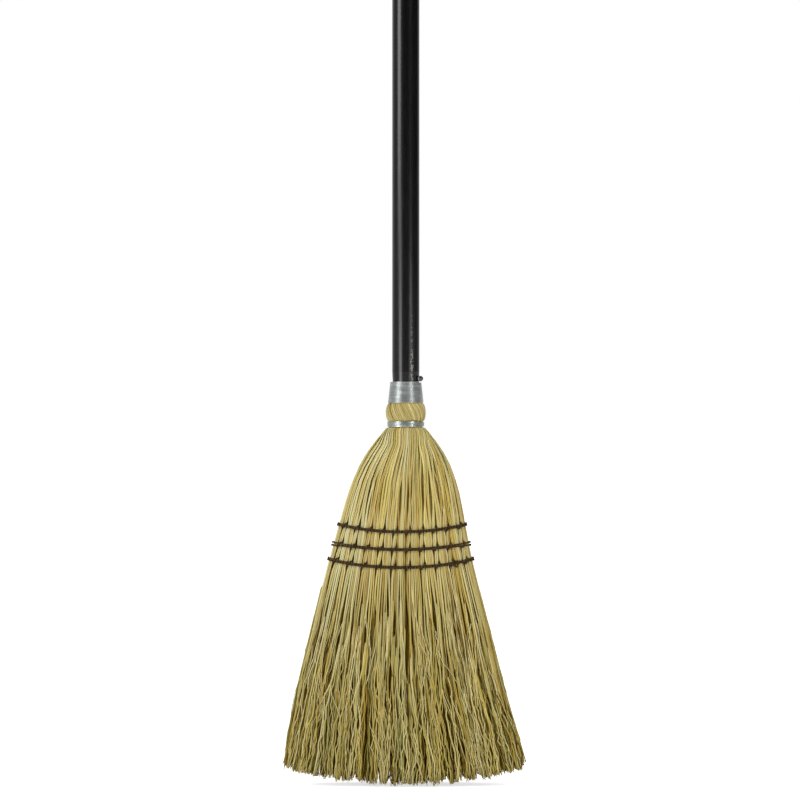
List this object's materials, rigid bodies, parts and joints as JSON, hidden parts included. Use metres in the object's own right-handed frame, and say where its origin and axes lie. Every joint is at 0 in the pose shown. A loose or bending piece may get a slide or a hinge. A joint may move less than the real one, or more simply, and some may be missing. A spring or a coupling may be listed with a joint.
{
  "type": "lobby broom",
  "caption": "Upright lobby broom: flat flared straw head, wire-bound onto a black lacquered wooden handle and sewn across with double rows of dark twine.",
  "frame": {"origin": "centre of the head's footprint, at the height of the lowest straw tips", "axes": "+Z along the handle, upwards; the flat front faces -Y and the head's width runs along X"},
  "size_m": [0.199, 0.0419, 0.965],
  "materials": {
    "black_lacquer": "black gloss lacquer over turned hardwood, lightly scuffed",
    "nail_steel": "plain steel wire nail with a domed head",
    "binding_wire": "galvanised binding wire, dull zinc",
    "cover_straw": "dried broomcorn straw, satin, gold to olive",
    "inner_straw": "dried broomcorn straw, satin, gold to olive",
    "sewing_twine": "waxed dark brown polypropylene or hemp twine"
  },
  "bodies": {
    "root": {"handle": "black_lacquer", "wire_nail": "nail_steel", "neck_wire": "binding_wire", "band_wire": "binding_wire", "tie_wire": "binding_wire", "core_straw": "inner_straw", "shoulder_straw_left": "inner_straw", "shoulder_straw_right": "inner_straw", "cover_straw_front": "cover_straw", "cover_straw_back": "cover_straw", "seam_1_wrap": "sewing_twine", "seam_2_wrap": "sewing_twine", "seam_3_wrap": "sewing_twine", "seam_1_stitches": "sewing_twine", "seam_2_stitches": "sewing_twine", "seam_3_stitches": "sewing_twine"}
  },
  "joints": []
}
